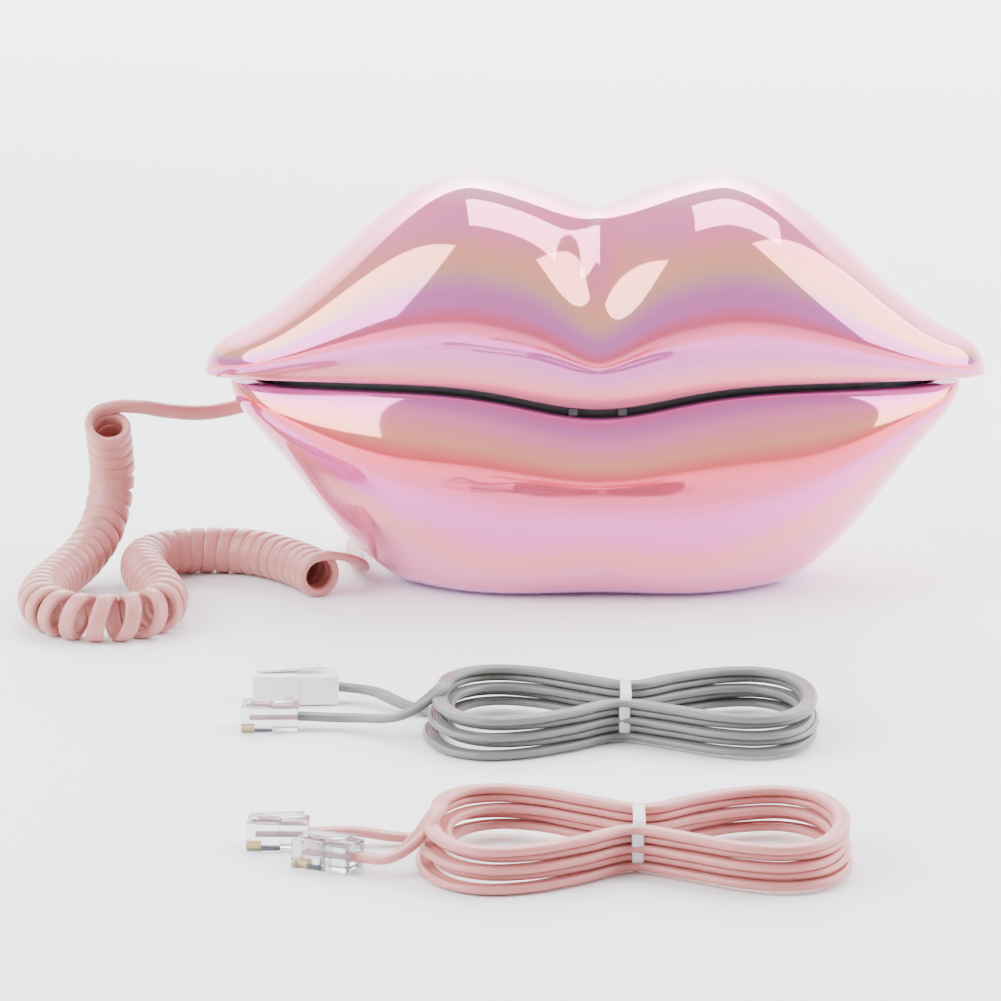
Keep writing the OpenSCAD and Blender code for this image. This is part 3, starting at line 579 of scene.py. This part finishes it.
def plan_share(s):
    """Half depth of a lip as a share of its greatest."""
    return tip(s) * (0.12 + 0.88 * max(0, 1 - s ** 2.4) ** 0.72)


def mouth_height(a, front):
    """Height of the mouth line, a from the middle."""
    dip = MOUTH_DIP * math.exp(-(a / DIP_SPREAD) ** 2) if front else 0
    return MOUTH_Z - MOUTH_FALL * (2 * a / BODY_W) ** 4 - dip


def ridge_height(a, s, inset):
    """Height of the upper lip's ridge, with its two lobes and the bow between them."""
    s0 = 2 * LOBE_X / BODY_W
    bell = 1 if s < s0 else 0.5 + 0.5 * math.cos(math.pi * min(1, (s - s0) / (1.03 - s0)))
    run = min(1, (math.sqrt(a * a + 4) - 2) / LOBE_X)
    top = (BODY_H - inset - MOUTH_Z) * tip(s) * (0.17 + 0.83 * bell)
    return mouth_height(a, False) + top - BOW_DIP * (1 - run) ** 1.6


def curl(y_wide, z_wide, y_edge, z_edge, n):
    """The turn-in from a lip's widest line to its edge at the mouth."""
    rise = (z_edge - z_wide) / math.cos(CURL_ANGLE)
    run = (y_wide - y_edge) / (1 - math.sin(CURL_ANGLE))
    angles = [CURL_ANGLE + (math.pi / 2 - CURL_ANGLE) * i / n for i in range(n)]
    return [(y_wide - run * (1 - math.sin(f)), z_wide + rise * math.cos(f)) for f in angles]


def lip_side(upper, a, s, inset, front, n):
    """One side of a lip's section, from the mouth's edge to the ridge or keel."""
    side = -1 if front else 1
    quarter = [math.pi / 2 * i / n for i in range(n + 1)]
    if upper:
        z_edge = mouth_height(a, front)
        z_top = ridge_height(a, s, inset)
        z_wide = z_edge + (0.335 - 0.06 * math.exp(-(a / BOW_SPREAD) ** 2)) * (z_top - z_edge)
        y_wide = side * (BODY_D / 2 - inset) * plan_share(s)
        groove = GROOVE * math.exp(-(a / GROOVE_SPREAD) ** 2) if front else 0
        rest = [(y_wide * math.cos(f) + groove * math.sin(2 * f) ** 2,
                 z_wide + (z_top - z_wide) * math.sin(f)) for f in quarter]
    else:
        z_edge = mouth_height(a, front) - MOUTH_GAP
        u = min(1, max(0, (a - FOOT_HALF) / (LOWER_W / 2 - FOOT_HALF)))
        keel = (u ** 1.5 + 0.5 - 0.5 * math.cos(math.pi * u ** 1.1)) / 2
        height = (z_edge - BASE_Z - inset) * (1 - 0.87 * keel) * tip(s)
        z_keel = z_edge - height
        z_wide = z_keel + 0.63 * height
        y_wide = side * (BODY_D / 2 - LOW_INSET - inset) * plan_share(s)
        dent = FOOT_DENT * math.exp(-(a / DENT_SPREAD) ** 2) if front else 0
        fade = 0.5 + 0.5 * math.cos(math.pi * min(1, (a / FOOT_FADE) ** 2.2))
        y_foot = side * max(KEEL_Y, (FOOT_Y - dent - inset) * fade)
        rest = [(y_foot + (y_wide - y_foot) * math.cos(f), z_wide - (z_wide - z_keel) * math.sin(f))
                for f in quarter]
    return curl(y_wide, z_wide, MOUTH_SHARE * y_wide, z_edge, n) + rest


def rounded_edge(row, toward, r):
    """Rounds the start of a row of (y, z) points, where it meets the rim that runs toward a point."""
    edge, nxt, toward = (np.array(p, float) for p in (row[0], row[1], toward))
    down = nxt - edge
    reach = np.linalg.norm(down)
    along = toward - edge
    r = min(r, 0.8 * reach, 0.3 * np.linalg.norm(along))
    down, along = down / reach * r, along / np.linalg.norm(along) * r
    arc = [(edge + along), (edge + 0.55 * along + 0.08 * down), (edge + 0.22 * along + 0.25 * down),
           (edge + 0.06 * along + 0.58 * down), (edge + down)]
    return [tuple(p) for p in arc] + list(row[1:])


RIM_OUTSIDE, RIM_INSIDE = 0.9, 0.5


def lip_mesh(name, upper):
    """A lip's hollow shell with a rounded rim."""
    outer_half = (BODY_W if upper else LOWER_W) / 2
    inner_half = outer_half - 2 * WALL
    rings = []
    for k in range(-STATIONS, STATIONS + 1):
        share = math.sin(math.pi / 2 * k / STATIONS)
        loops = []
        for half, inset, n in ((outer_half, 0, 18), (inner_half, WALL, 10)):
            x = half * share
            a, s = abs(x), abs(share)
            front, back = (lip_side(upper, a, s, inset, f, n) for f in (True, False))
            loops.append((x, front, back))
        (xo, of, ob), (xi, nf, nb) = loops
        of_r, nf_r = rounded_edge(of, nf[0], RIM_OUTSIDE), rounded_edge(nf, of[0], RIM_INSIDE)
        ob_r, nb_r = rounded_edge(ob, nb[0], RIM_OUTSIDE), rounded_edge(nb, ob[0], RIM_INSIDE)
        outer = [(xo, *p) for p in of_r + ob_r[-2::-1]]
        inner = [(xi, *p) for p in nb_r + nf_r[-2::-1]]
        rings.append(outer + inner)
    m = len(rings[0])
    points = [p for ring in rings for p in ring]
    faces = []
    for k in range(len(rings) - 1):
        for i in range(m):
            j = (i + 1) % m
            faces.append((k * m + i, k * m + j, (k + 1) * m + j, (k + 1) * m + i))
    count = len(outer)
    for k, flip in ((0, False), (len(rings) - 1, True)):
        base = k * m
        walls = [list(range(count)), list(range(count, m)), [count - 1, count, m - 1, 0]]
        for wall in walls:
            loop = [base + i for i in wall]
            faces.append(tuple(reversed(loop)) if not flip else tuple(loop))
    bm = bmesh.new()
    made = [bm.verts.new(p) for p in points]
    for f in faces:
        bm.faces.new([made[i] for i in f])
    obj = bpy.data.objects.new(name, mesh_of(name, bm))
    scene.collection.objects.link(obj)
    return obj


def cut(obj, add_cutters):
    """Cuts openings whose shapes add_cutters puts into a bmesh, in millimetres."""
    bm = bmesh.new()
    add_cutters(bm)
    cutter = bpy.data.objects.new("cutter", mesh_of("cutter", bm))
    scene.collection.objects.link(cutter)
    tool = obj.modifiers.new("cut", "BOOLEAN")
    tool.operation = "DIFFERENCE"
    tool.solver = "EXACT"
    tool.object = cutter
    bpy.context.view_layer.update()
    whole = obj.evaluated_get(bpy.context.evaluated_depsgraph_get())
    cut_mesh = bpy.data.meshes.new_from_object(whole)
    obj.modifiers.clear()
    obj.data = cut_mesh
    bpy.data.objects.remove(cutter)


def box_mm(node):
    """A node's lowest and highest corners, in millimetres."""
    low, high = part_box(node)
    return np.array(low) / MM, np.array(high) / MM


FIT = 0.4           # gap round what drops into an opening
THROUGH = 9         # how far a cutter reaches past the shell
KNOB_TRAVEL, KNOB_GAP = 2, 0.35


def upper_cuts(bm):
    """The handset's opening for its jack."""
    jack = placed(HANDSET_JACK, HANDSET_JACK_TURN)
    rounded_box(bm, (-6.4, -4, -5.9), (6.4, 16, 5.9), 0.6, 3, jack)


def lower_cuts(bm):
    """The base's openings for its two jacks, its ringer knob and its bottom cover."""
    for node in ("line_jack", "base_cord_jack"):
        low, high = box_mm(node)
        rounded_box(bm, (low[0] - FIT, low[1], low[2] - FIT),
                    (high[0] + FIT, high[1] + THROUGH, high[2] + FIT), 0.6)
    low, high = box_mm("ringer_knob")
    side = KNOB_TRAVEL + KNOB_GAP
    rounded_box(bm, (low[0] - side, high[1] - 7, low[2] - KNOB_GAP),
                (high[0] + side, high[1] + THROUGH, high[2] + KNOB_GAP), 0.4)
    low, high = box_mm("bottom_cover")
    r = (high[1] - low[1]) / 2 + FIT
    left, right = low[0] + r - FIT, high[0] - r + FIT
    for x in (left, right):
        bmesh.ops.create_cone(bm, cap_ends=True, segments=96, radius1=r, radius2=r, depth=8,
                              matrix=Matrix.Translation((x, 0, 1)))
    rounded_box(bm, (left, -r, -3.0), (right, r, 5.01), 0)


LIPS = (("upper_lip", True, "handset", UPPER_PEARL_AND_REFLECTION, upper_cuts, "upper_lip_shell"),
        ("lower_lip", False, "base", LOWER_PEARL_AND_REFLECTION, lower_cuts, "lower_lip_shell"))
for name, upper, body, look, cutters, node in LIPS:
    lip = lip_mesh(name, upper)
    cut(lip, cutters)
    settle(lip, look, body, (node,), 38)


# ------------------------------------------------------------------- keypad

FACES = {"key_1": "1", "key_2": "2", "key_3": "3", "key_4": "4", "key_5": "5", "key_6": "6", "key_7": "7",
         "key_8": "8", "key_9": "9", "key_star": "*", "key_0": "0", "key_hash": "#"}


def printed(char, at, size):
    """A digit's mesh, facing down, read with the earpiece at the top."""
    curve = bpy.data.curves.new("digit", "FONT")
    curve.body = char
    curve.size = size
    curve.align_x = "CENTER"
    curve.align_y = "CENTER"
    curve.extrude = 0.0125 * size
    obj = bpy.data.objects.new("digit", curve)
    scene.collection.objects.link(obj)
    bpy.context.view_layer.update()
    mesh = bpy.data.meshes.new_from_object(obj.evaluated_get(bpy.context.evaluated_depsgraph_get()))
    bpy.data.objects.remove(obj)
    turn = Matrix(((0, -1, 0, 0), (-1, 0, 0, 0), (0, 0, -1, 0), (0, 0, 0, 1)))
    mesh.transform(Matrix.Translation(at) @ turn)
    return mesh


KEY_FLANGE, KEY_TAPER, KEY_DISH, DISH_EDGE = 0.8, 0.9, 0.22, 1.1
DIGIT_SIZE, STAR_SIZE = 4.4, 6.4
DASH_W, DASH_L = 0.5, 2.4


def key_cap(node):
    """A key's cap, tapered and dished, on its flange, with its digit or a dash."""
    low, high = box_mm(node)
    centre = (low + high) / 2
    bm = bmesh.new()
    cap = rounded_box(bm, (low[0] + KEY_FLANGE, low[1] + KEY_FLANGE, low[2]),
                      (high[0] - KEY_FLANGE, high[1] - KEY_FLANGE, high[2] - 0.5), 0.7, 4)
    for v in cap:
        if v.co.z < low[2] + 0.9:
            for axis in (0, 1):
                v.co[axis] = centre[axis] + (v.co[axis] - centre[axis]) * KEY_TAPER
    bottom = [f for f in bm.faces if f.normal.z < -0.9 and f.calc_center_median().z < low[2] + 0.1]
    bmesh.ops.inset_region(bm, faces=bottom, thickness=DISH_EDGE)
    for f in bottom:
        for v in f.verts:
            v.co.z += KEY_DISH
    rounded_box(bm, (low[0], low[1], high[2] - 0.9), (high[0], high[1], high[2]), 0.2, 2)
    if node in FACES:
        size = STAR_SIZE if FACES[node] == "*" else DIGIT_SIZE
        before = set(bm.verts)
        bm.from_mesh(printed(FACES[node], (centre[0], centre[1], low[2] + 0.2), size))
        ink = [v for v in bm.verts if v not in before]
    else:
        ink = rounded_box(bm, (centre[0] - DASH_W, centre[1] - DASH_L, low[2] + 0.12),
                          (centre[0] + DASH_W, centre[1] + DASH_L, low[2] + 0.3), 0.08, 1)
    tint(bm, ink, 1)
    from_bmesh(node + "_cap", bm, (GREY, INK), node, (node,))


for node in NODES:
    if node.startswith("key_"):
        key_cap(node)


# ---------------------------------------------------------- the CAD's pieces

LOOKS = {
    BLACK: ("face_plate", "earpiece_grille", "cradle_tray", "bottom_cover", "line_jack", "base_cord_jack",
            "handset_jack", "hook_switch", "microphone_boot"),
    RUBBER: ("rubber_feet",), PAD: ("rest_pads",),
    STEEL: ("receiver_capsule", "microphone_capsule", "handset_weight", "handset_screws", "base_screws",
            "base_weight", "ringer_switch", "hook_spring"),
    BOARD: ("keypad_board", "main_board"), BRASS: ("ringer_disc",),
    GREY: ("keypad_mat", "ringer_knob", "hook_plunger")}
BEVELS = {"face_plate": 0.35, "earpiece_grille": 0.3, "cradle_tray": 0.5, "bottom_cover": 0.35,
          "rubber_feet": 0.4, "rest_pads": 0.25, "line_jack": 0.3, "base_cord_jack": 0.3,
          "handset_jack": 0.3, "ringer_knob": 0.3,
          "hook_plunger": 0.3, "handset_screws": 0.25, "base_screws": 0.25}
WELD_WITHIN = 0.000005
for look, names in LOOKS.items():
    for name in names:
        obj = NODES[name]
        obj.data.materials.clear()
        obj.data.materials.append(look)
        weld = obj.modifiers.new("weld", "WELD")
        weld.merge_threshold = WELD_WITHIN
        if name in BEVELS:
            bevel = obj.modifiers.new("bevel", "BEVEL")
            bevel.width = BEVELS[name] * MM
            bevel.segments = 2
            bevel.limit_method = "ANGLE"
            bevel.angle_limit = math.radians(50)
            bevel.use_clamp_overlap = True


# -------------------------------------------------------------------- stage

FLOOR = finish_of("floor", srgb(252, 252, 252), 0.6, grain=60, depth=0.01)


FLOOR_FRONT, FLOOR_BACK, SWEEP_R, BACKDROP_TOP, FLOOR_HALF = -1.5, 1.6, 0.6, 2.2, 3


def sheet_of(name, profile, half, material):
    """A seamless sheet: a (y, z) profile carried across."""
    points = [(x, y, z) for x in (-half, half) for y, z in profile]
    n = len(profile)
    faces = [(i, i + 1, n + i + 1, n + i) for i in range(n - 1)]
    mesh = bpy.data.meshes.new(name)
    mesh.from_pydata(points, [], faces)
    mesh.materials.append(material)
    for polygon in mesh.polygons:
        polygon.use_smooth = True
    obj = bpy.data.objects.new(name, mesh)
    scene.collection.objects.link(obj)


angles = [math.radians(a) for a in range(0, 91, 6)]
bend = [(FLOOR_BACK + SWEEP_R * math.sin(a), SWEEP_R - SWEEP_R * math.cos(a)) for a in angles]
wall_top = (FLOOR_BACK + SWEEP_R, BACKDROP_TOP)
sheet_of("floor", [(FLOOR_FRONT, 0), (0, 0)] + bend + [wall_top], FLOOR_HALF, FLOOR)


def softbox(name, corner, along, across, radiance, tint=(1, 1, 1), target=(0, 0, 0)):
    """A rectangular softbox, from its corner along two sides, facing target."""
    corner, along, across = Vector(corner), Vector(along), Vector(across)
    across -= along * (across.dot(along) / along.length_squared)
    middle = corner + along / 2 + across / 2
    u, v = along.normalized(), across.normalized()
    away = u.cross(v)
    if away.dot(middle - Vector(target)) < 0:
        v, away = -v, -away
    light = bpy.data.lights.new(name, "AREA")
    light.shape = "RECTANGLE"
    light.size, light.size_y = along.length, across.length
    light.color = tint
    light.energy = radiance * math.pi * light.size * light.size_y
    obj = bpy.data.objects.new(name, light)
    obj.matrix_world = Matrix((
        (u.x, v.x, away.x, middle.x), (u.y, v.y, away.y, middle.y), (u.z, v.z, away.z, middle.z), (0, 0, 0, 1)))
    scene.collection.objects.link(obj)


softbox("overhead", (-0.10, 0.0, 0.95), (0.80, 0.06, 0), (0, 0.48, 0), 9, (0.86, 0.97, 1.0))
softbox("left_box", (-0.315, -0.294, 1.0), (-0.745, 0.725, -0.29), (-0.54, -0.72, -0.73), 8, (0.88, 0.93, 1.0))
softbox("right_box", (0.46, -0.19, 1.0), (0.57, 1.1, -0.29), (0.50, -0.70, -0.80), 8, (0.93, 0.89, 1.0))
softbox("backdrop_light", (-1.5, 1.0, 2.2), (3.0, 0, 0), (0, 0.15, 0.56), 80, target=(0, 2.2, 1.0))

world = bpy.data.worlds.new("studio")
world.use_nodes = True
world.node_tree.nodes["Background"].inputs["Color"].default_value = (0.5, 0.48, 0.49, 1)
world.node_tree.nodes["Background"].inputs["Strength"].default_value = 1.4
scene.world = world

bpy.context.view_layer.update()
